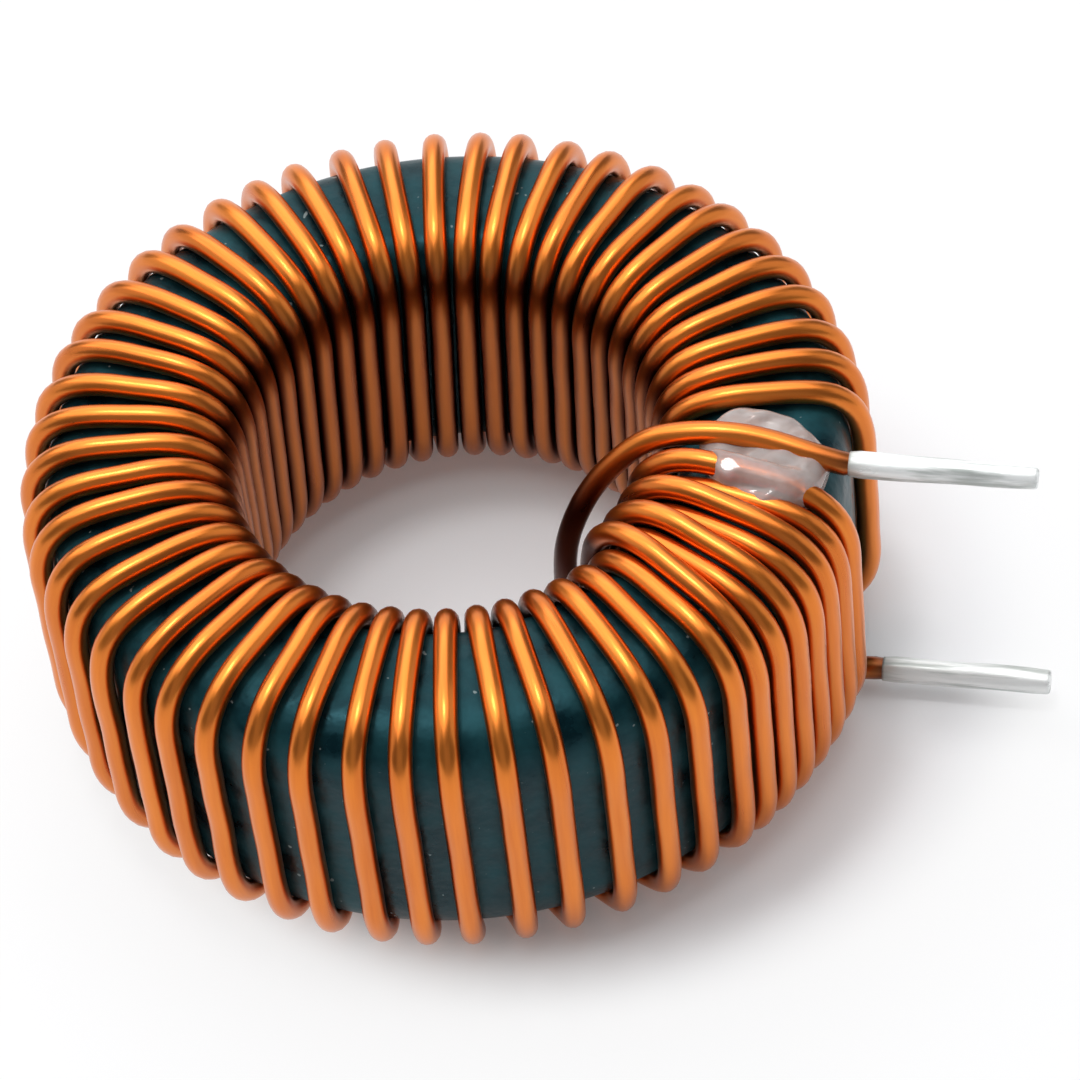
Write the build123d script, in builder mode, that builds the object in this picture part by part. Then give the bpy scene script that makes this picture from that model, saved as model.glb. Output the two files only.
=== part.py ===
"""Toroidal inductor: a coated ring core, one wire wound round it, two tinned ends and a drop of glue.

Millimetres, +Z up. The origin is on the ring's axis, level with the lowest point of the winding,
and both wire ends point along +X.
"""
import os
from math import cos, radians, sin, sqrt

from build123d import *

# Ring core
core_outer_dia = 40.7
core_inner_dia = 23.3
core_height = 15.4
core_bevel = 1.6

# Wire and its winding
wire_dia = 1.2
wire_sides = 8
wire_corner_share = 1.033
seat_gap = 0.05
plain_turns = 46
crowded_turns = 7
first_turn_angle = 11.8
plain_pitch = 6.907
crowded_wall_pitch = 4.25
crowded_bore_pitch = 4.15
crowded_foot_pitch = 6.5
crowded_back_angle = 1.0
layer_rise = 1.03
layer_rise_share_outside = 0.2
layer_rise_share_below = 0.8

# How far a turn leans as it runs down the bore, in degrees, and where that lean starts to change
far_lean_angle = 3.5
near_lean_angle = -6.0
lean_change_turn = 22
wander_angle = 0.6
bore_wander_share = 0.3
wander_beat = 2.4
wander_second_beat = 5.1

# Stripped and tinned wire ends
bare_dia = 1.1
strip_taper = 0.3
tin_dia = 1.4
tin_gap = 0.02
tin_tip = 0.5
tin_tip_bevel = 0.2
upper_tin_length = 9.3
upper_tin_set_in = 0.4
lower_tin_length = 8.6
lower_tin_set_out = 0.8
lower_lead_lift = 0.68
lead_side_share = -0.667

# The loose run of the wire from the upper end down through the bore to the first turn
start_foot_angle = 8.7
loose_run_shares = [
    (0.80, -0.60, 1.020),
    (0.51, -0.10, 1.043),
    (0.19, -0.10, 1.050),
    (-0.08, -0.25, 1.005),
    (-0.31, -0.60, 0.852),
    (-0.43, -1.33, 0.741),
    (-0.51, -1.71, 0.530),
    (-0.50, -1.50, 0.275),
    (-0.37, -0.45, 0.110),
    (-0.14, 0.75, 0.038),
]

# Glue
glue_place_share = 0.49
glue_length_share = 0.62
glue_width_share = 0.34
glue_side_share = -0.006
glue_height = 1.65
glue_bevel = 0.6
glue_gap = 0.08

# Sizes that follow from those above
run_offset = wire_dia / 2 + seat_gap
outer_run_radius = core_outer_dia / 2 + run_offset
inner_run_radius = core_inner_dia / 2 - run_offset
ring_width = outer_run_radius - inner_run_radius
core_bottom = wire_dia + seat_gap
core_top = core_bottom + core_height
wire_corner = wire_corner_share * wire_dia / 2
bottom_run_height = wire_corner
top_run_height = core_top + run_offset
corner_loss = 2 - sqrt(2)
bend_cut = core_bevel + corner_loss * run_offset
turns = plain_turns + crowded_turns


def polar(radius, angle, height):
    """A point by its distance from the ring's axis, its angle in degrees and its height."""
    return Vector(radius * cos(radians(angle)), radius * sin(radians(angle)), height)


def even_angle(turn):
    """The angle of a plain turn if the winding were quite even."""
    return first_turn_angle + plain_pitch * turn


def drift(turn):
    """The hand-wound unevenness of a turn, in degrees."""
    return wander_angle * (sin(wander_beat * turn) + sin(wander_second_beat * turn + 1)) / 2


def lean(turn):
    """How far a plain turn moves round the ring while it runs down the bore, in degrees."""
    change = max(0, turn - lean_change_turn) / (plain_turns - 1 - lean_change_turn)
    return far_lean_angle + (near_lean_angle - far_lean_angle) * change


def crowd(turn):
    """Zero for a plain turn, then one, two, three for the crowded turns that end the winding."""
    return max(0, turn - plain_turns + 1)


def wall_angle(turn):
    """Where a turn climbs the outer wall."""
    plain = min(turn, plain_turns - 1)
    settled = even_angle(plain) + drift(plain)
    return settled + crowded_wall_pitch * crowd(turn) - crowded_back_angle * min(crowd(turn + 1), 1)


def bore_angle(turn):
    """Where a turn goes over the inner edge of the ring."""
    plain = min(turn, plain_turns - 1)
    settled = even_angle(plain) + drift(plain) * bore_wander_share
    return settled + crowded_bore_pitch * crowd(turn)


def foot_angle(turn):
    """Where a turn leaves the bore and goes under the ring."""
    plain = min(turn, plain_turns - 1)
    return even_angle(plain) + lean(plain) + crowded_foot_pitch * crowd(turn)


def turn_corners(turn):
    """The corners of one turn: up the outer wall, in over the top, down the bore."""
    rise = layer_rise if crowd(turn) % 2 else 0
    foot_rise = rise * layer_rise_share_below
    top_cut = bend_cut + corner_loss * rise
    foot_cut = bend_cut + corner_loss * foot_rise
    outside, inside, foot = wall_angle(turn), bore_angle(turn), foot_angle(turn)
    bore_radius = inner_run_radius - rise
    foot_radius = inner_run_radius - foot_rise
    top = top_run_height + rise
    return [
        polar(outer_run_radius, outside, bottom_run_height + bend_cut),
        polar(outer_run_radius, outside, top_run_height - bend_cut),
        polar(outer_run_radius - bend_cut, outside, top_run_height + rise * layer_rise_share_outside),
        polar(bore_radius + top_cut, inside, top),
        polar(bore_radius, inside, top - top_cut),
        polar(foot_radius, foot, bottom_run_height + foot_cut),
        polar(inner_run_radius + bend_cut, foot, bottom_run_height),
    ]


def foot_corner(turn):
    """The corner under the outer edge of the ring, before a turn climbs the outer wall."""
    return polar(outer_run_radius - bend_cut, wall_angle(turn), bottom_run_height)


def loose_point(across_share, side, height_share):
    """A point of the loose run: shares of the ring's width and height, and wire widths to the side."""
    across = inner_run_radius + across_share * ring_width
    return Vector(across, side * wire_dia, height_share * top_run_height)


# The wire's centre line from the upper end to the lower end
upper_root = outer_run_radius - upper_tin_set_in
upper_reach = upper_root + upper_tin_length
upper_lead_height = top_run_height
lower_root = outer_run_radius + lower_tin_set_out
lower_reach = lower_root + lower_tin_length
lower_lead_height = bottom_run_height + lower_lead_lift
lead_side = lead_side_share * wire_dia
upper_end = [
    Vector(upper_reach - tin_tip, lead_side, upper_lead_height),
    Vector(upper_root + strip_taper, lead_side, upper_lead_height),
    Vector(upper_root, lead_side, upper_lead_height),
    Vector(upper_root - strip_taper, lead_side, upper_lead_height),
]
lower_end = [
    Vector(outer_run_radius - bend_cut, lead_side, bottom_run_height),
    Vector(lower_root - bend_cut / 2, lead_side, lower_lead_height),
    Vector(lower_root, lead_side, lower_lead_height),
    Vector(lower_root + strip_taper, lead_side, lower_lead_height),
    Vector(lower_reach - tin_tip, lead_side, lower_lead_height),
]
loose_run = [loose_point(*shares) for shares in loose_run_shares]
first_foot = [polar(inner_run_radius + bend_cut, start_foot_angle, bottom_run_height)]
wound = []
for turn in range(turns):
    wound += [foot_corner(turn)] + turn_corners(turn)
centre_line = upper_end + loose_run + first_foot + wound + lower_end
upper_bare = (0, 1)
lower_bare = (len(centre_line) - 2, len(centre_line) - 1)
bare_points = upper_bare + lower_bare


def run_from(index):
    """The straight run that starts at a corner; the last one serves the wire's very end."""
    start = min(max(index, 0), len(centre_line) - 2)
    return centre_line[start + 1] - centre_line[start]


def mitre_direction(index):
    """The direction square to the plane that halves the bend at a corner."""
    return run_from(index - 1).normalized() + run_from(index).normalized()


def carry(section, index):
    """A section slid along the run that ends at a corner, up to the plane that halves the bend there."""
    run = run_from(index - 1)
    normal = mitre_direction(index)
    return [point + run * ((centre_line[index] - point).dot(normal) / run.dot(normal)) for point in section]


# The wire's section at each corner: a regular polygon at the upper end, carried on from run to run
end_plane = Plane(origin=centre_line[0], z_dir=run_from(0))
end_corners = [360 * side / wire_sides for side in range(wire_sides)]
sections = [[end_plane.from_local_coords(polar(wire_corner, angle, 0)) for angle in end_corners]]
for index in range(1, len(centre_line)):
    sections.append(carry(sections[-1], index))


def sized(index, across):
    """The wire's section at a corner, for a wire of another width."""
    centre = centre_line[index]
    return [centre + (point - centre) * (across / wire_dia) for point in sections[index]]


def wire_solid(rings):
    """A stretch of wire from its sections: a flat face from corner to corner on every side, and two ends."""
    faces = [Face(Wire.make_polygon(rings[0])), Face(Wire.make_polygon(rings[-1]))]
    for here, there in zip(rings, rings[1:]):
        for side in range(wire_sides):
            faces.append(Face(Wire.make_polygon([here[side - 1], here[side], there[side], there[side - 1]])))
    return Solid(Shell(faces))


# Ring core: a pressed ring with bevelled edges under a smooth coat
with BuildPart() as toroid_core:
    with BuildSketch(Plane.XZ):
        with Locations(((core_outer_dia + core_inner_dia) / 4, (core_bottom + core_top) / 2)):
            Rectangle((core_outer_dia - core_inner_dia) / 2, core_height)
        chamfer(vertices(), length=core_bevel)
    revolve(axis=Axis.Z)
toroid_core.part.label = "toroid_core"

# Winding: one wire from end to end, mitred at each bend
with BuildPart() as winding:
    widths = [bare_dia if index in bare_points else wire_dia for index in range(len(centre_line))]
    add(wire_solid([sized(index, across) for index, across in enumerate(widths)]))
winding.part.label = "winding"

# Solder that coats the stripped ends
with BuildPart() as upper_tinned_end:
    with BuildSketch(Plane(origin=(upper_root + strip_taper, lead_side, upper_lead_height), z_dir=(1, 0, 0))):
        Circle(tin_dia / 2)
    extrude(amount=upper_tin_length - strip_taper)
    chamfer(upper_tinned_end.faces().sort_by(Axis.X)[-1].edges(), length=tin_tip_bevel)
    add(wire_solid([sized(index, bare_dia + 2 * tin_gap) for index in upper_bare]), mode=Mode.SUBTRACT)
upper_tinned_end.part.label = "upper_tinned_end"

with BuildPart() as lower_tinned_end:
    with BuildSketch(Plane(origin=(lower_root + strip_taper, lead_side, lower_lead_height), z_dir=(1, 0, 0))):
        Circle(tin_dia / 2)
    extrude(amount=lower_tin_length - strip_taper)
    chamfer(lower_tinned_end.faces().sort_by(Axis.X)[-1].edges(), length=tin_tip_bevel)
    add(wire_solid([sized(index, bare_dia + 2 * tin_gap) for index in lower_bare]), mode=Mode.SUBTRACT)
lower_tinned_end.part.label = "lower_tinned_end"

# Glue: a flat drop on the core's top that holds the upper end, with the wires running through it
glue_place = inner_run_radius + glue_place_share * ring_width
loose_start = len(upper_end)
wound_start = loose_start + len(loose_run) + len(first_foot)
corners_per_turn = 8
glued_turns = (0, turns - 3, turns - 2, turns - 1)
glued_runs = [range(loose_start - 1, loose_start + 4)]
for turn in glued_turns:
    over_top = wound_start + corners_per_turn * turn
    glued_runs.append(range(over_top + 2, over_top + 6))
with BuildPart() as glue_drop:
    with BuildSketch(Plane.XY.offset(core_top)):
        with Locations((glue_place, glue_side_share * glue_place)):
            Ellipse(glue_length_share * ring_width / 2, glue_width_share * glue_place / 2)
    extrude(amount=glue_height)
    chamfer(glue_drop.faces().sort_by(Axis.Z)[-1].edges(), length=glue_bevel)
    for run in glued_runs:
        add(wire_solid([sized(index, wire_dia + 2 * glue_gap) for index in run]), mode=Mode.SUBTRACT)
glue_drop.part.label = "glue_drop"

os.makedirs("parts", exist_ok=True)
export_step(toroid_core.part, "parts/toroid_core.step")
export_step(winding.part, "parts/winding.step")
export_step(upper_tinned_end.part, "parts/upper_tinned_end.step")
export_step(lower_tinned_end.part, "parts/lower_tinned_end.step")
export_step(glue_drop.part, "parts/glue_drop.step")
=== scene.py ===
# %% [markdown]
# # A toroidal inductor
# A ring core with a glossy dark coat carries one enamelled copper wire, wound round it in many turns. The
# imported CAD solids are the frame: every piece below is made in metres, in the place that they give.

# %% Load the frame
from math import cos, radians, sin

import bpy
import numpy as np
from mathutils import Matrix, Vector


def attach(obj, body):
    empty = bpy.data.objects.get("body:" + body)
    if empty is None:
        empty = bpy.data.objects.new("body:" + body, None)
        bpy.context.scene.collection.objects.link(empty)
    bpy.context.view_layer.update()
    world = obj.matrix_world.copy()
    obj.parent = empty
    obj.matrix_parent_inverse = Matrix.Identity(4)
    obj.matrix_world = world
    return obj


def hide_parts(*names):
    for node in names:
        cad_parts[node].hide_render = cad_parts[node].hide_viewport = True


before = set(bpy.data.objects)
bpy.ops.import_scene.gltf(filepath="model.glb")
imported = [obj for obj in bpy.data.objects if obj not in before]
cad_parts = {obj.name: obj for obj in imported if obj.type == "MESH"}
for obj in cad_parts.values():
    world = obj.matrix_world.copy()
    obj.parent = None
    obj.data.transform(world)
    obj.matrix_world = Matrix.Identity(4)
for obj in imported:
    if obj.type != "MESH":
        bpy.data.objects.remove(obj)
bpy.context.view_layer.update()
print("solids:", sorted(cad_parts))

# %% [markdown]
# ## Sizes
# On the bench the ring and the wire would be measured with calipers, in millimetres. Nearly the same
# numbers drive the CAD solids, so they are written here in millimetres too and turned into metres when a
# mesh is made. Two need a word. The stripped wire is thinner than the real one, because it only has to
# hide inside the solder. The wire of the solids has eight sides, whose corners reach a little further
# than a round wire of its width.

# %% Sizes of the ring and the wire
mm = 0.001
core_outer_dia, core_inner_dia = 40.7, 23.3
core_height, core_bevel = 15.4, 1.6
wire_dia, bare_dia = 1.2, 0.9
seat_gap, wire_corner_share = 0.05, 1.033
plain_turns, crowded_turns = 46, 7

run_offset = wire_dia / 2 + seat_gap
outer_run = core_outer_dia / 2 + run_offset
inner_run = core_inner_dia / 2 - run_offset
ring_width = outer_run - inner_run
core_bottom = wire_dia + seat_gap
core_top = core_bottom + core_height
bottom_run = wire_corner_share * wire_dia / 2
top_run = core_top + run_offset
corner_loss = 2 - np.sqrt(2)
bend_cut = core_bevel + corner_loss * run_offset
print("over the winding:", 2 * outer_run + wire_dia, "mm, wire", wire_dia, "mm")

# %% [markdown]
# ## Camera
# The photograph looks down at about fifty degrees through a long lens, a little tilted to one side. A
# camera can be placed by eye, but this one was solved from the ring's outlines, so its place and angles
# are written as found, and then turned about the ring's axis with the wire ends, which point along +X
# here. The photograph's frame is wider than it is stored, so the lens is shorter here, to take in the
# ends.

# %% Camera at the photograph's viewing angle
lead_turn = 16.0
camera_place = Vector((0.0, -182.30, 224.53)) * mm
pitch, yaw, roll = radians(50.13), radians(0.586), radians(-7.88)
lens_in_photo, frame_share = 238.3, 0.775

look = Vector((0, cos(pitch), -sin(pitch)))
right = Vector((1, 0, 0))
up = right.cross(look)
ahead = look * cos(yaw) + right * sin(yaw)
level = right * cos(yaw) - look * sin(yaw)
across = level * cos(roll) + up * sin(roll)
upward = level * -sin(roll) + up * cos(roll)
turned = Matrix.Rotation(radians(lead_turn), 4, "Z")
camera = bpy.data.objects.new("camera", bpy.data.cameras.new("camera"))
bpy.context.scene.collection.objects.link(camera)
axes = Matrix((across, upward, -ahead)).transposed().to_4x4()
camera.matrix_world = turned @ Matrix.Translation(camera_place) @ axes
camera.data.lens = lens_in_photo * frame_share
camera.data.shift_x = 0.022
camera.data.shift_y = 0.013
camera.data.clip_start = 0.01
bpy.context.scene.camera = camera
print("lens", round(camera.data.lens), "mm")

# %% [markdown]
# ## From arrays to meshes
# Each piece is a grid of points: rows along the piece, columns round it. One helper joins neighbours into
# four-sided faces, closes the ends with caps, turns the faces outwards and hands the object to the frame.


# %% A grid of points as a closed piece
def grid_faces(rows, columns):
    """Faces between neighbours of a grid that closes round its columns:
    (i, j), (i, j+1), (i+1, j+1), (i+1, j)."""
    index = np.arange(rows * columns).reshape(rows, columns)
    beside = np.roll(index, -1, axis=1)
    return np.stack([index[:-1], beside[:-1], beside[1:], index[1:]], axis=-1).reshape(-1, 4)


def volume_sign(points, faces):
    """Sign of the volume: the sum of a . (b x c) over the faces' corners, positive when they point out."""
    a, b, c, d = (points[faces[:, k]] for k in range(4))
    return np.sign(np.sum(a * np.cross(b, c)) + np.sum(a * np.cross(c, d)))


def add_piece(name, grid, node, finish, closed_rows=False):
    """A smooth mesh from a grid of points in millimetres. Its ends get caps, or its rows close on
    themselves."""
    rows, columns = grid.shape[:2]
    points = grid.reshape(-1, 3) * mm
    faces = grid_faces(rows, columns)
    first = np.arange(columns)
    last = first + (rows - 1) * columns
    caps = [first[::-1].tolist(), last.tolist()]
    if closed_rows:
        seam = np.stack([last, np.roll(last, -1), np.roll(first, -1), first], axis=-1)
        faces, caps = np.concatenate([faces, seam]), []
    if volume_sign(points, faces) < 0:
        faces, caps = faces[:, ::-1], [cap[::-1] for cap in caps]
    mesh = bpy.data.meshes.new(name)
    mesh.from_pydata(points.tolist(), [], faces.tolist() + caps)
    mesh.polygons.foreach_set("use_smooth", np.ones(len(mesh.polygons), dtype=bool))
    mesh.materials.append(finish)
    piece = bpy.data.objects.new(name, mesh)
    bpy.context.scene.collection.objects.link(piece)
    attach(piece, "root")
    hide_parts(node)
    print(name, len(mesh.polygons), "faces")
    return piece


# %% [markdown]
# ## Finishes
# A finish is a Principled shader with a few texture nodes in front of it. The nodes could be joined by
# hand in the editor, but the same few groups come back in every finish, so each is a helper: a noise
# pattern, a colour ramp, a mix of two colours and small bumps. Grain sizes and depths are given in
# millimetres.


# %% Starting a finish and its patterns
def start_finish(name):
    """A new material with its node tree, its links and its Principled shader."""
    finish = bpy.data.materials.new(name)
    finish.use_nodes = True
    tree = finish.node_tree
    return finish, tree.nodes, tree.links, tree.nodes["Principled BSDF"]


def grain(nodes, links, size, detail=2.0):
    """A noise pattern on Object coordinates whose blotches are about `size` millimetres wide."""
    place = nodes.new("ShaderNodeTexCoord")
    noise = nodes.new("ShaderNodeTexNoise")
    noise.inputs["Scale"].default_value = 1 / (size * mm)
    noise.inputs["Detail"].default_value = detail
    links.new(place.outputs["Object"], noise.inputs["Vector"])
    return noise.outputs["Fac"]


def stretched_grain(nodes, links, place, scale, detail):
    """A noise pattern on the places that `place` gives, each axis times its own `scale`: small is long."""
    stretch = nodes.new("ShaderNodeMapping")
    stretch.inputs["Scale"].default_value = scale
    links.new(place, stretch.inputs["Vector"])
    noise = nodes.new("ShaderNodeTexNoise")
    noise.inputs["Scale"].default_value = 1.0
    noise.inputs["Detail"].default_value = detail
    links.new(stretch.outputs["Vector"], noise.inputs["Vector"])
    return noise.outputs["Fac"]


def kept_value(nodes, name):
    """The value that a mesh keeps at its points under `name`."""
    node = nodes.new("ShaderNodeAttribute")
    node.attribute_name = name
    return node


# %% Colours and bumps
def grey(level):
    """A grey, for a ramp that gives a plain value."""
    return level, level, level


def ramp(nodes, links, source, *stops):
    """A colour ramp over a value, between two stops: each is a place from 0 to 1 and a colour."""
    node = nodes.new("ShaderNodeValToRGB")
    for element, (place, colour) in zip(node.color_ramp.elements, stops):
        element.position = place
        element.color = (*colour, 1.0)
    links.new(source, node.inputs["Fac"])
    return node.outputs["Color"]


def mix_colours(nodes, links, amount, base, over):
    """The linked colour `base` where `amount` is 0, and the plain colour `over` where it is 1."""
    mix = nodes.new("ShaderNodeMix")
    mix.data_type = "RGBA"
    factor, first_colour, second_colour = mix.inputs[0], mix.inputs[6], mix.inputs[7]
    second_colour.default_value = (*over, 1.0)
    links.new(amount, factor)
    links.new(base, first_colour)
    return mix.outputs[2]


def roughen(nodes, links, shader, height, depth):
    """Small bumps: `height` is a value from 0 to 1, `depth` its depth in millimetres."""
    bump = nodes.new("ShaderNodeBump")
    bump.inputs["Distance"].default_value = depth * mm
    bump.inputs["Strength"].default_value = 1.0
    links.new(height, bump.inputs["Height"])
    links.new(bump.outputs["Normal"], shader.inputs["Normal"])


# %% [markdown]
# ## The wire's centre line
# The wire was pulled round the ring by hand, turn after turn, first evenly and then crowded beside the
# start. A spiral formula would be too regular, so each turn is a row of eight corners, worked out for all
# turns at once: under the rim, up the outer wall, over the top, down the bore and back under the ring.
# Every second crowded turn rises over its neighbours, because the bore has no room for all of them side
# by side.

# %% Angles of every turn
first_turn_angle, plain_pitch = 11.8, 6.907
wander_angle, bore_wander_share = 0.6, 0.3
wander_beat, second_beat = 2.4, 5.1
far_lean, near_lean, lean_change_turn = 3.5, -6.0, 22
crowded_wall_pitch, crowded_bore_pitch, crowded_foot_pitch = 4.25, 4.15, 6.5
crowded_back_angle = 1.0

turn = np.arange(plain_turns + crowded_turns)
plain = np.minimum(turn, plain_turns - 1)
crowd = np.maximum(turn - plain_turns + 1, 0)
even = first_turn_angle + plain_pitch * plain
drift = wander_angle * (np.sin(wander_beat * plain) + np.sin(second_beat * plain + 1)) / 2
lean_change = np.maximum(plain - lean_change_turn, 0) / (plain_turns - 1 - lean_change_turn)
lean = far_lean + (near_lean - far_lean) * lean_change
wall = even + drift + crowded_wall_pitch * crowd - crowded_back_angle * (turn >= plain_turns - 1)
bore = even + bore_wander_share * drift + crowded_bore_pitch * crowd
foot = even + lean + crowded_foot_pitch * crowd
print("turns from", wall[0], "to", round(wall[-1], 1), "degrees")


# %% Corners of every turn
def polar(radius, angle, height):
    """Points by distance from the ring's axis, angle in degrees and height: (r cos a, r sin a, z)."""
    turn_angle = np.radians(angle)
    parts = np.broadcast_arrays(radius * np.cos(turn_angle), radius * np.sin(turn_angle), height)
    return np.stack(parts, axis=-1)


layer_rise, outside_rise_share, foot_rise_share = 1.03, 0.2, 0.8
rise = layer_rise * (crowd % 2)
foot_rise = foot_rise_share * rise
top_cut = bend_cut + corner_loss * rise
foot_cut = bend_cut + corner_loss * foot_rise
top_outside = polar(outer_run - bend_cut, wall, top_run + outside_rise_share * rise)
top_inside = polar(inner_run - rise + top_cut, bore, top_run + rise)
corners = [
    polar(outer_run - bend_cut, wall, bottom_run),
    polar(outer_run, wall, bottom_run + bend_cut),
    polar(outer_run, wall, top_run - bend_cut),
    top_outside,
    top_inside,
    polar(inner_run - rise, bore, top_run + rise - top_cut),
    polar(inner_run - foot_rise, foot, bottom_run + foot_cut),
    polar(inner_run + bend_cut, foot, bottom_run),
]
wound = np.stack(corners, axis=1).reshape(-1, 3)
print(len(turn), "turns with", len(wound), "corners")

# %% [markdown]
# The two ends are straight, stripped and dipped in solder. The upper one comes from a loose run that
# stands away from the wall of the bore. A drawn curve would stay behind if the ring changed, so the
# points of this run are shares of the ring's width, wire widths to the side and shares of the height.

# %% Ends and the loose run
lead_side = -0.8
upper_set_in, upper_tin_length = 0.4, 9.3
lower_set_out, lower_tin_length, lower_lift = 0.8, 8.6, 0.68
strip_taper, tin_tip = 0.3, 0.5
first_foot_angle = 8.7
upper_root = outer_run - upper_set_in
upper_reach = upper_root + upper_tin_length
upper_height = top_run
lower_root = outer_run + lower_set_out
lower_reach = lower_root + lower_tin_length
lower_height = bottom_run + lower_lift
loose_shares = np.array([
    (0.80, -0.60, 1.020),
    (0.51, -0.10, 1.043),
    (0.19, -0.10, 1.050),
    (-0.08, -0.25, 1.005),
    (-0.31, -0.60, 0.852),
    (-0.43, -1.33, 0.741),
    (-0.51, -1.71, 0.530),
    (-0.50, -1.50, 0.275),
    (-0.37, -0.45, 0.110),
    (-0.14, 0.75, 0.038),
])
loose_run = loose_shares * (ring_width, wire_dia, top_run) + (inner_run, 0, 0)
upper_end = np.array([
    (upper_reach - tin_tip, lead_side, upper_height),
    (upper_root + strip_taper, lead_side, upper_height),
    (upper_root, lead_side, upper_height),
    (upper_root - strip_taper, lead_side, upper_height),
])
first_foot = polar(inner_run + bend_cut, first_foot_angle, bottom_run)[None]
lower_end = np.array([
    (outer_run - bend_cut, lead_side, bottom_run),
    (lower_root - bend_cut / 2, lead_side, lower_height),
    (lower_root, lead_side, lower_height),
    (lower_root + strip_taper, lead_side, lower_height),
    (lower_reach - tin_tip, lead_side, lower_height),
])
centre_line = np.concatenate([upper_end, loose_run, first_foot, wound, lower_end])
wire_length = np.linalg.norm(np.diff(centre_line, axis=0), axis=1).sum()
print("wire length", round(wire_length / 1000, 2), "m")

# %% [markdown]
# Copper this thick bends in smooth arcs, never in corners. A curve object with a bevel would round them
# too, but an array formula is exact: each corner gives way to a short parabola that touches the runs on
# both sides.

# %% Rounding the bends
short_run_share = 0.47


def round_corners(points, reach, steps):
    """Bends as parabolas (1-t)^2 A + 2t(1-t) P + t^2 B round each corner P. A and B lie on the runs before
    and after it, `reach` away or, on a short run, just under half of its length away."""
    runs = np.diff(points, axis=0)
    lengths = np.linalg.norm(runs, axis=1)
    tangents = runs / lengths[:, None] * np.minimum(reach, short_run_share * lengths)[:, None]
    before = points[1:-1, None] - tangents[:-1, None]
    corner = points[1:-1, None]
    after = points[1:-1, None] + tangents[1:, None]
    t = np.linspace(0, 1, steps)[None, :, None]
    bends = (1 - t) ** 2 * before + 2 * t * (1 - t) * corner + t ** 2 * after
    return np.concatenate([points[:1], bends.reshape(-1, 3), points[-1:]])


def even_steps(points, step):
    """Points at equal lengths along a line, and the length travelled at each: x, y and z are interpolated
    over it."""
    lengths = np.concatenate([[0], np.cumsum(np.linalg.norm(np.diff(points, axis=0), axis=1))])
    travelled = np.linspace(0, lengths[-1], round(lengths[-1] / step))
    axes = [np.interp(travelled, lengths, points[:, axis]) for axis in range(3)]
    return np.stack(axes, axis=-1), travelled


bend_reach, bend_steps, path_step = 2.3, 25, 0.5
path, travelled = even_steps(round_corners(centre_line, bend_reach, bend_steps), path_step)
print("path of", len(path), "points")

# %% [markdown]
# ## The winding
# The wire is a round profile carried along that path. Its side direction is kept along the ring, so that
# the profile never twists, and the radius drops where the enamel is stripped at the ends. A wire pulled
# by hand is never quite straight: waves of a few hundredths of a millimetre make its highlights uneven.
# They fade out near the solder and under the ring, where the wire is held.


# %% Directions along the path
def along_path(path):
    """Unit directions at each point, square to the path: sideways (round the ring) and outwards."""
    ahead = np.gradient(path, axis=0)
    ahead /= np.linalg.norm(ahead, axis=1)[:, None]
    round_ring = np.stack([-path[:, 1], path[:, 0], np.zeros(len(path))], axis=-1)
    sideways = round_ring - ahead * np.sum(round_ring * ahead, axis=1)[:, None]
    sideways /= np.linalg.norm(sideways, axis=1)[:, None]
    return sideways, np.cross(ahead, sideways)


def smooth_step(value, low, high):
    """Rises from 0 at `low` to 1 at `high` as 3 t^2 - 2 t^3."""
    t = np.clip((value - low) / (high - low), 0, 1)
    return t * t * (3 - 2 * t)


def hand_waves(travelled, seed):
    """Uneven waves between -1 and 1: the mean of five sines of the length travelled, with seeded beats
    and phases."""
    rng = np.random.default_rng(seed)
    beats = rng.uniform(0.5, 1.7, 5)
    phases = rng.uniform(0, 2 * np.pi, 5)
    return np.sin(travelled[:, None] * beats + phases).mean(axis=1)


# %% Waves of the hand-pulled wire
wave_out, wave_aside = 0.04, 0.012
held_length, free_length = 1, 6
held_height, free_height = 2, 5
from_upper = travelled - (upper_reach - tin_tip - upper_root)
from_lower = travelled[-1] - travelled - (lower_reach - tin_tip - lower_root)
free = smooth_step(from_upper, held_length, free_length) * smooth_step(from_lower, held_length, free_length)
free = free * smooth_step(path[:, 2], held_height, free_height)
sideways, outwards = along_path(path)
waves = wave_out * hand_waves(travelled, 5)[:, None] * outwards
waves = waves + wave_aside * hand_waves(travelled, 6)[:, None] * sideways
waves = free[:, None] * waves
path = path + waves
print("waves up to", round(float(np.abs(waves).max()), 3), "mm")


# %% A round profile along the path
def once_round(count):
    """`count` even angles once round a circle, in radians."""
    return np.linspace(0, 2 * np.pi, count, endpoint=False)


def carry_profile(path, radius, sides):
    """Points path + r (cos p * sideways + sin p * outwards), with p once round the profile."""
    sideways, outwards = along_path(path)
    p = once_round(sides)[None, :, None]
    ring = np.cos(p) * sideways[:, None] + np.sin(p) * outwards[:, None]
    return path[:, None] + radius[:, None, None] * ring


stripped = np.clip(-np.minimum(from_upper, from_lower) / strip_taper, 0, 1)
wire_radius = (wire_dia - (wire_dia - bare_dia) * stripped) / 2
wire_sides = 16
wire_skin = carry_profile(path, wire_radius, wire_sides)
print("skin of", wire_skin.shape[0] * wire_skin.shape[1], "points")
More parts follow.
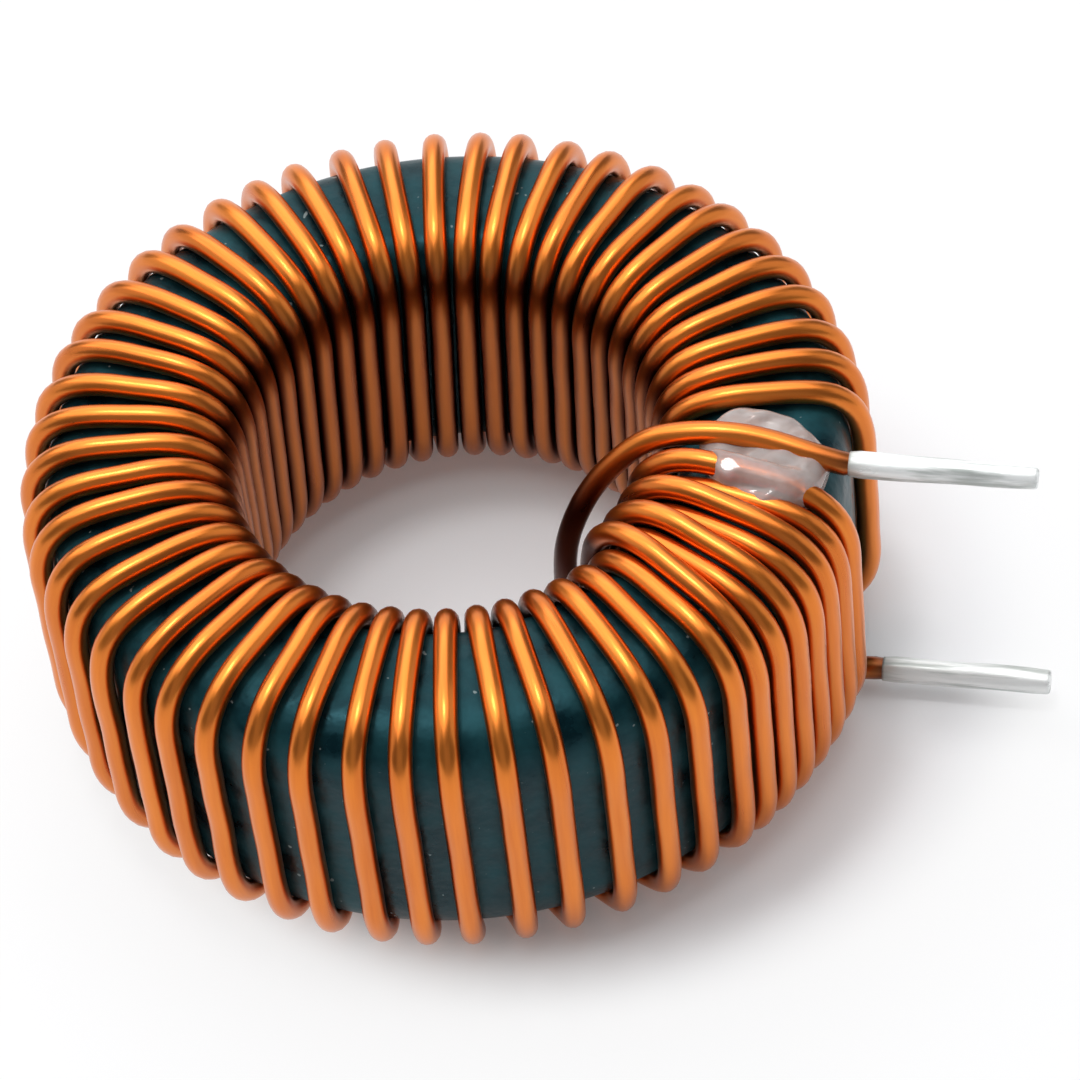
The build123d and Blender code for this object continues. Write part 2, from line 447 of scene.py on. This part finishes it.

# %% [markdown]
# The wire's finish is clear amber enamel over bright copper. The copper is drawn through a die, which
# leaves faint lines along it. A pattern fixed in space would cut across them, so each point of the mesh
# also keeps its place on the straightened wire, and the pattern is stretched along that. The flanks of
# the turns are darkened with painted shade, most where they lie close in the bore, and a band of painted
# shade lies where they bend into it. The loose run darkens with painted shade as it goes down into the
# bore. The heat of the solder scorched the enamel beside the stripped ends. A second kept value holds
# this real burn together with the painted shade.


# %% Values that the finish reads
def store(piece, name, kind, values):
    """Keeps a number (FLOAT) or a vector (FLOAT_VECTOR) for each point of a mesh."""
    field = "value" if kind == "FLOAT" else "vector"
    kept = piece.data.attributes.new(name, kind, "POINT")
    kept.data.foreach_set(field, values.astype(np.float32).ravel())


def straight_place(travelled, radius, sides):
    """Places on the straightened wire, in millimetres: (r cos p, r sin p, length travelled)."""
    p = once_round(sides)[None, :]
    radius = radius[:, None]
    parts = np.broadcast_arrays(radius * np.cos(p), radius * np.sin(p), travelled[:, None])
    return np.stack(parts, axis=-1)


def painted_shade_between_turns(path, sides):
    """Painted shade between turns: a smooth step in |cos p|, where p = 0 faces along the ring, strong in
    the bore, and a band exp(-((depth - middle) / width)^2) where the turns bend into the bore."""
    # Painted shade: darker flanks where turns touch, darker wires in the bore and a dark band at the bend
    # into it.
    bore_shade, bore_flank_shade, top_flank_shade, bend_shade = 0.38, 0.60, 0.06, 0.40
    band_middle, band_width = 1.5, 1.0
    radius = np.hypot(path[:, 0], path[:, 1])
    depth = top_run - path[:, 2]
    flank = smooth_step(np.abs(np.cos(once_round(sides))), 0.45, 0.95)[None, :]
    in_bore = smooth_step(radius, inner_run + 1.2, inner_run) * smooth_step(depth, 0, 2.0)
    near_bore = smooth_step(radius, inner_run + 1.8, inner_run + 0.4)
    bend = near_bore * np.exp(-((depth - band_middle) / band_width) ** 2)
    darkening = in_bore[:, None] * (bore_shade + bore_flank_shade * flank)
    darkening = darkening + top_flank_shade * flank + bend_shade * bend[:, None]
    return np.clip(darkening, 0, 1)


# %% Browning of the enamel and painted shade
upper_burn, upper_burn_reach = 0.70, 1.5
lower_burn, lower_burn_reach = 0.9, 1.3
loose_bright_height, loose_shaded_height = 17.2, 13.0
burn = upper_burn * np.exp(-np.maximum(from_upper, 0) / upper_burn_reach)
burn = burn + lower_burn * np.exp(-np.maximum(from_lower, 0) / lower_burn_reach)
loose_length = np.linalg.norm(np.diff(loose_run, axis=0), axis=1).sum()
in_turns = (from_upper > loose_length) & (from_lower > 0)
in_loose_run = (from_upper > 0) & (from_upper < loose_length)
# Painted shade: the loose run darkens below its top as it goes down into the bore.
loose_painted_shade = in_loose_run * smooth_step(path[:, 2], loose_bright_height, loose_shaded_height)
# Painted shade between the turns and on the loose run, added to the real heat burn at the ends.
shade_and_burn = painted_shade_between_turns(path, wire_sides) * in_turns[:, None] + (burn + loose_painted_shade)[:, None]
wire_places = straight_place(travelled, wire_radius, wire_sides)
print("browned points:", int((shade_and_burn > 0.3).sum()))

# %% Enamelled copper
enamel, nodes, links, shader = start_finish("enamelled_copper")
along_wire = kept_value(nodes, "straight_wire").outputs["Vector"]
drawn = stretched_grain(nodes, links, along_wire, (1.6, 1.6, 0.11), 3.0)
amber = ramp(nodes, links, drawn, (0.32, (0.68, 0.170, 0.020)), (0.68, (0.83, 0.238, 0.028)))
darkening = kept_value(nodes, "shade_and_burn").outputs["Fac"]
# The dark colour paints the shade between turns, in the bore and on the loose run, and the real heat burn.
shaded_and_burnt = mix_colours(nodes, links, darkening, amber, (0.07, 0.020, 0.012))
gloss = ramp(nodes, links, drawn, (0.3, grey(0.27)), (0.7, grey(0.35)))
links.new(shaded_and_burnt, shader.inputs["Base Color"])
links.new(gloss, shader.inputs["Roughness"])
shader.inputs["Metallic"].default_value = 0.96
shader.inputs["Coat Weight"].default_value = 0.3
shader.inputs["Coat Roughness"].default_value = 0.25
roughen(nodes, links, shader, drawn, 0.012)
print("enamel of", len(nodes), "nodes")

# %% The winding's mesh
winding = add_piece("wire_winding", wire_skin, "winding", enamel)
store(winding, "shade_and_burn", "FLOAT", np.clip(shade_and_burn, 0, 1))
store(winding, "straight_wire", "FLOAT_VECTOR", wire_places)

# %% [markdown]
# ## The ring core
# Pressed powder under a thick coat has soft edges. A bevel modifier could soften them, but the section is
# the bevelled rectangle of the solid, and the parabola that rounds the wire's bends rounds its corners as
# well. Turned about the axis, this section is a surface of two parameters: the place along the section
# and the angle round the ring.

# %% The rounded section, turned about the axis
inner, outer = core_inner_dia / 2, core_outer_dia / 2
section = np.array([
    (inner, core_bottom + core_bevel), (inner + core_bevel, core_bottom),
    (outer - core_bevel, core_bottom), (outer, core_bottom + core_bevel),
    (outer, core_top - core_bevel), (outer - core_bevel, core_top),
    (inner + core_bevel, core_top), (inner, core_top - core_bevel),
])
edge_reach, edge_steps, ring_steps = 1.9, 9, 240
closed = np.concatenate([section[-1:], section, section[:1]])
flat_section = np.column_stack([closed, np.zeros(len(closed))])
soft_section = round_corners(flat_section, edge_reach, edge_steps)[1:-1]
around = np.degrees(once_round(ring_steps))[:, None]
ring_grid = polar(soft_section[None, :, 0], around, soft_section[None, :, 1])
print("ring section of", len(soft_section), "points")

# %% [markdown]
# The coat is a dark green-black lacquer. It is glossy but not flat: a fine orange peel breaks up its
# reflections, clouds make it glossier in some places than in others, and specks of dust and small chips
# show as pale dots. Painted images would need a layout of the surface. Noise fixed to the object has no
# seams.

# %% Dark coat
cloud_size, dust_size, peel_size = 2.4, 0.35, 0.9
coat, nodes, links, shader = start_finish("core_coat")
clouds = grain(nodes, links, cloud_size, 5.0)
dark = ramp(nodes, links, clouds, (0.36, (0.001, 0.009, 0.013)), (0.68, (0.013, 0.064, 0.076)))
dust = grain(nodes, links, dust_size, 0.0)
specks = ramp(nodes, links, dust, (0.83, grey(0.0)), (0.86, grey(1.0)))
chipped = mix_colours(nodes, links, specks, dark, (0.26, 0.32, 0.32))
sheen = ramp(nodes, links, clouds, (0.36, grey(0.26)), (0.68, grey(0.48)))
links.new(chipped, shader.inputs["Base Color"])
links.new(sheen, shader.inputs["Roughness"])
shader.inputs["Specular IOR Level"].default_value = 0.30
shader.inputs["Specular Tint"].default_value = (0.26, 0.80, 0.96, 1)
roughen(nodes, links, shader, grain(nodes, links, peel_size), 0.06)
add_piece("coated_ring", ring_grid, "toroid_core", coat, closed_rows=True)

# %% [markdown]
# ## The tinned ends
# Solder clings to the stripped wire in a skin that is thick near the ring and, on the upper end, thinner
# towards the cut. A plain cylinder would look machined. This is a surface of revolution whose radius
# changes along its length and a little round it, so that it looks dipped.

# %% Solder on the ends
solder_rows, solder_sides, tip_rows, tip_round = 70, 40, 5, 0.16
unevenness = 0.014
wave_weight = np.array([1.0, 1.0, 1.4, 0.9])
beats_along = np.array([7, 13, 4, -9])
beats_round = np.array([0, -1, 3, 5])


def solder_skin(start, end, height, thickness, seed):
    """Radius r(s) (1 + long waves in s and angle) round a level axis, with r(s) interpolated between the
    (s, r) pairs of `thickness`; the last rows close in an eased, flat-cut tip."""
    phase = np.random.default_rng(seed).uniform(0, 2 * np.pi, 4)
    angle = once_round(solder_sides)[None, :]
    s = np.concatenate([np.linspace(0, 1, solder_rows), np.ones(tip_rows)])[:, None]
    bow = np.concatenate([np.zeros(solder_rows), np.linspace(0.2, 1, tip_rows) * np.pi / 2])[:, None]
    waves = np.sin(beats_along * s[..., None] + beats_round * angle[..., None] + phase) @ wave_weight
    stops, sizes = np.array(thickness).T
    radius = np.interp(s, stops, sizes) * (1 + unevenness * waves) - tip_round * (1 - np.cos(bow))
    along = start + (end - tip_round - start) * s + tip_round * np.sin(bow)
    parts = np.broadcast_arrays(along, lead_side + radius * np.cos(angle), height + radius * np.sin(angle))
    return np.stack(parts, axis=-1)


upper_thickness = [(0, 0.605), (0.06, 0.67), (0.3, 0.66), (0.75, 0.61), (1, 0.53)]
lower_thickness = [(0, 0.605), (0.08, 0.66), (0.5, 0.67), (0.9, 0.66), (1, 0.64)]
upper_solder = solder_skin(upper_root, upper_reach, upper_height, upper_thickness, 3)
lower_solder = solder_skin(lower_root, lower_reach, lower_height, lower_thickness, 8)
print("solder skins of", upper_solder.shape[:2], "points")

# %% [markdown]
# Solder is bright where it flowed and dull where it set first, in streaks along the wire. Flux from the
# soldering left a thin brownish grey residue, strongest at the root and reaching further on the lower
# end. A thin even film of the same colour over the whole lower end is painted shade, as that end lies in
# the ring's shadow. A second material for these would end in a hard edge, so a value on the mesh says
# how much of them there is.

# %% Tin solder
tin, nodes, links, shader = start_finish("tin_solder")
flow = nodes.new("ShaderNodeTexCoord").outputs["Object"]
dull = stretched_grain(nodes, links, flow, (220, 2600, 2600), 4.0)
silver = ramp(nodes, links, dull, (0.36, (0.50, 0.53, 0.51)), (0.52, (0.95, 0.97, 0.96)))
flux_and_shade = kept_value(nodes, "flux_and_shade").outputs["Fac"]
# The mix paints the residue of the soldering and, on the lower end, a film of painted shade.
stained_and_shaded = mix_colours(nodes, links, flux_and_shade, silver, (0.34, 0.35, 0.31))
matt = ramp(nodes, links, dull, (0.3, grey(0.46)), (0.7, grey(0.26)))
links.new(stained_and_shaded, shader.inputs["Base Color"])
links.new(matt, shader.inputs["Roughness"])
shader.inputs["Metallic"].default_value = 0.3
roughen(nodes, links, shader, dull, 0.02)
print("solder of", len(nodes), "nodes")

# %% The two tinned ends
upper_flux, upper_flux_reach = 0.7, 0.05
lower_shade_film, lower_flux, lower_flux_reach = 0.04, 0.6, 0.10
along_rows = np.linspace(0, 1, upper_solder.shape[0])
upper_stain = upper_flux * np.exp(-along_rows / upper_flux_reach)
# Painted shade: the even film darkens the whole lower end, which lies in the ring's shadow.
lower_flux_and_shade = lower_shade_film + lower_flux * np.exp(-along_rows / lower_flux_reach)
upper_piece = add_piece("upper_solder", upper_solder, "upper_tinned_end", tin)
lower_piece = add_piece("lower_solder", lower_solder, "lower_tinned_end", tin)
store(upper_piece, "flux_and_shade", "FLOAT", np.repeat(upper_stain, solder_sides))
store(lower_piece, "flux_and_shade", "FLOAT", np.repeat(lower_flux_and_shade, solder_sides))

# %% [markdown]
# ## The glue
# A drop of milky glue was pressed over the upper end to hold it. It fills the gaps on both sides of that
# wire and runs over the last turn in front of it. A subdivided and sculpted ball could pass for it, but a
# height over an oval patch is exact: a low dab, a ridge along the wire that it covers, a small flat that
# was pressed while it set and now catches the light, and a rim where all of them fall to the ring.


# %% Outline of the patch and ridge over the wire
def ridge_along(x, y, start, end, cover, width):
    """Height of glue over a wire: the wire's top plus `cover`, falling as exp(-(d / width)^4) with the
    distance d from the wire."""
    run = end - start
    share = ((x - start[0]) * run[0] + (y - start[1]) * run[1]) / (run[0] ** 2 + run[1] ** 2)
    aside = np.hypot(x - start[0] - share * run[0], y - start[1] - share * run[1])
    top = start[2] + share * run[2] + wire_dia / 2 + cover - core_top
    return top * np.exp(-(aside / width) ** 4)


glue_middle, glue_half = (16.34, -0.95), (3.30, 3.20)
glue_sides, top_rows, base_rows = 128, 56, 12
smallest_ring, base_start = 0.02, 0.98
ridge_cover, ridge_width = 0.12, 1.05
drop_angle = once_round(glue_sides)[None, :]
top_out = np.linspace(smallest_ring, 1, top_rows)
base_out = np.linspace(base_start, smallest_ring, base_rows)
out = np.concatenate([top_out, base_out])[:, None]
on_top = np.arange(top_rows + base_rows)[:, None] < top_rows
wavy = 1 - 0.10 * np.sin(2 * drop_angle + 0.3)
wavy = wavy + 0.04 * np.sin(3 * drop_angle + 0.6) + 0.02 * np.sin(7 * drop_angle)
drop_x = glue_middle[0] + glue_half[0] * out * wavy * np.cos(drop_angle)
drop_y = glue_middle[1] + glue_half[1] * out * wavy * np.sin(drop_angle)
ridge = ridge_along(drop_x, drop_y, top_inside[-1], top_outside[-1], ridge_cover, ridge_width)
print("glue patch of", drop_x.shape, "points")

# %% Height of the glue
dab_height, glue_lift, blend_power = 1.38, 0.004, 8
flat_x, flat_y, flat_height, flat_radius = 14.87, -2.60, 1.98, 0.64
flat_slope_x, flat_slope_y = 0.026, 0.298
dab = dab_height + 0.09 * np.sin(1.7 * drop_x + 0.5) * np.sin(2.1 * drop_y)
dab = dab + 0.04 * np.sin(3.9 * drop_x - 2.7 * drop_y)
heap = (dab ** blend_power + ridge ** blend_power) ** (1 / blend_power)
rim = np.sqrt(np.clip(1 - out ** 9, 0, 1)) * on_top
pressed = flat_height + flat_slope_x * (drop_x - flat_x) + flat_slope_y * (drop_y - flat_y)
from_flat = ((drop_x - flat_x) ** 2 + (drop_y - flat_y) ** 2) / flat_radius ** 2
press = np.exp(-from_flat ** 3) * smooth_step(out, 1.0, 0.86) * on_top
drop_z = core_top + glue_lift + rim * heap + press * (pressed - rim * heap)
glue_grid = np.stack([drop_x, drop_y, drop_z], axis=-1)
print("glue", round(float(drop_z.max() - core_top), 2), "mm high")

# %% [markdown]
# Set glue of this kind is neither glass nor paint: the wire shows through it, with a pale haze. A volume
# inside the drop would be truer but slow and noisy, so part of the light passes and the rest meets a
# milky colour.

# %% Milky clear glue
haze_size = 1.2
glue, nodes, links, shader = start_finish("clear_glue")
haze = grain(nodes, links, haze_size)
milky = ramp(nodes, links, haze, (0.3, (0.66, 0.50, 0.45)), (0.7, (0.90, 0.83, 0.80)))
links.new(milky, shader.inputs["Base Color"])
shader.inputs["Roughness"].default_value = 0.10
shader.inputs["IOR"].default_value = 1.45
shader.inputs["Transmission Weight"].default_value = 0.6
roughen(nodes, links, shader, haze, 0.02)
add_piece("glue_dab", glue_grid, "glue_drop", glue)

# %% [markdown]
# ## The floor
# The part lies on a white sheet. The floor is pale by its own colour, and part of the white is seen only
# by the camera, by reflections and through the glue, so the object gets no extra light. More light would
# clip the copper. That share of white is small in the bore and on the right of the ring, where the shadow
# falls, and grows away from there.


# %% White floor
def combine(nodes, links, operation, first, second):
    """A Math node that works on two linked values."""
    node = nodes.new("ShaderNodeMath")
    node.operation = operation
    links.new(first, node.inputs[0])
    links.new(second, node.inputs[1])
    return node.outputs[0]


floor_half, floor_drop = 1.2, 0.00002
floor_signs = [(-1, -1), (1, -1), (1, 1), (-1, 1)]
floor_corners = [(floor_half * x, floor_half * y, -floor_drop) for x, y in floor_signs]
floor_mesh = bpy.data.meshes.new("floor")
floor_mesh.from_pydata(floor_corners, [], [(0, 1, 2, 3)])
floor = bpy.data.objects.new("floor", floor_mesh)
bpy.context.scene.collection.objects.link(floor)
print("floor", 2 * floor_half, "m wide")

# %% White paper
shade_middle = (0.006, 0.001, 0)
shade_edge, white_edge = 0.019, 0.025
least_white, most_white = 0.10, 0.78
paper, nodes, links, shader = start_finish("white_paper")
shader.inputs["Base Color"].default_value = (0.93, 0.94, 0.96, 1)
shader.inputs["Roughness"].default_value = 0.9
shader.inputs["Specular IOR Level"].default_value = 0.1
white = nodes.new("ShaderNodeEmission")
white.inputs["Color"].default_value = (1, 1, 1, 1)
white.inputs["Strength"].default_value = 1.0
rays = nodes.new("ShaderNodeLightPath").outputs
seen = combine(nodes, links, "MAXIMUM", rays["Is Camera Ray"], rays["Is Glossy Ray"])
seen = combine(nodes, links, "MAXIMUM", seen, rays["Is Transmission Ray"])
from_shade = nodes.new("ShaderNodeVectorMath")
from_shade.operation = "DISTANCE"
from_shade.inputs[1].default_value = shade_middle
links.new(nodes.new("ShaderNodeTexCoord").outputs["Object"], from_shade.inputs[0])
spread = nodes.new("ShaderNodeMapRange")
spread.interpolation_type = "SMOOTHSTEP"
spread.inputs["From Min"].default_value = shade_edge
spread.inputs["From Max"].default_value = white_edge
spread.inputs["To Min"].default_value = least_white
spread.inputs["To Max"].default_value = most_white
links.new(from_shade.outputs["Value"], spread.inputs["Value"])
blend = nodes.new("ShaderNodeMixShader")
links.new(combine(nodes, links, "MULTIPLY", seen, spread.outputs["Result"]), blend.inputs[0])
links.new(shader.outputs[0], blend.inputs[1])
links.new(white.outputs[0], blend.inputs[2])
links.new(blend.outputs[0], nodes["Material Output"].inputs["Surface"])
floor_mesh.materials.append(paper)
print("paper of", len(nodes), "nodes")

# %% [markdown]
# ## Light
# A small key light gives the wires their crisp highlights. A broad soft box above fills the shadows, and
# white panels all round give the metal something pale to reflect. A picture of a studio could light the
# part as well, but a few lamps are easy to move and need no image.


# %% Soft box, white panels and sky
def add_lamp(name, place, target, size, power):
    """A square soft box at `place` that faces `target`, with its size in metres and its power in watts."""
    lamp = bpy.data.lights.new(name, "AREA")
    lamp.size = size
    lamp.energy = power
    holder = bpy.data.objects.new(name, lamp)
    holder.location = place
    holder.rotation_euler = (Vector(target) - Vector(place)).to_track_quat("-Z", "Y").to_euler()
    bpy.context.scene.collection.objects.link(holder)


part_middle = (0, 0, 0.01)
lamps = [
    ("key_light", (-0.09, 0.07, 0.60), 0.10, 0.7),
    ("soft_box", (-0.18, 0.20, 0.66), 1.00, 5.4),
    ("back_panel", (-0.22, 0.72, 0.28), 0.80, 1.7),
    ("left_panel", (-0.70, -0.02, 0.34), 0.70, 1.0),
    ("front_panel", (0.10, -0.72, 0.36), 0.70, 0.3),
    ("right_panel", (0.66, 0.26, 0.34), 0.70, 0.95),
]
for name, place, size, power in lamps:
    add_lamp(name, place, part_middle, size, power)
world = bpy.data.worlds.new("studio")
world.use_nodes = True
sky = world.node_tree.nodes["Background"]
sky.inputs["Color"].default_value = (0.93, 0.96, 1.0, 1)
sky.inputs["Strength"].default_value = 0.20
bpy.context.scene.world = world
bpy.context.scene.view_settings.view_transform = "Standard"
print(len(lamps), "lamps set")
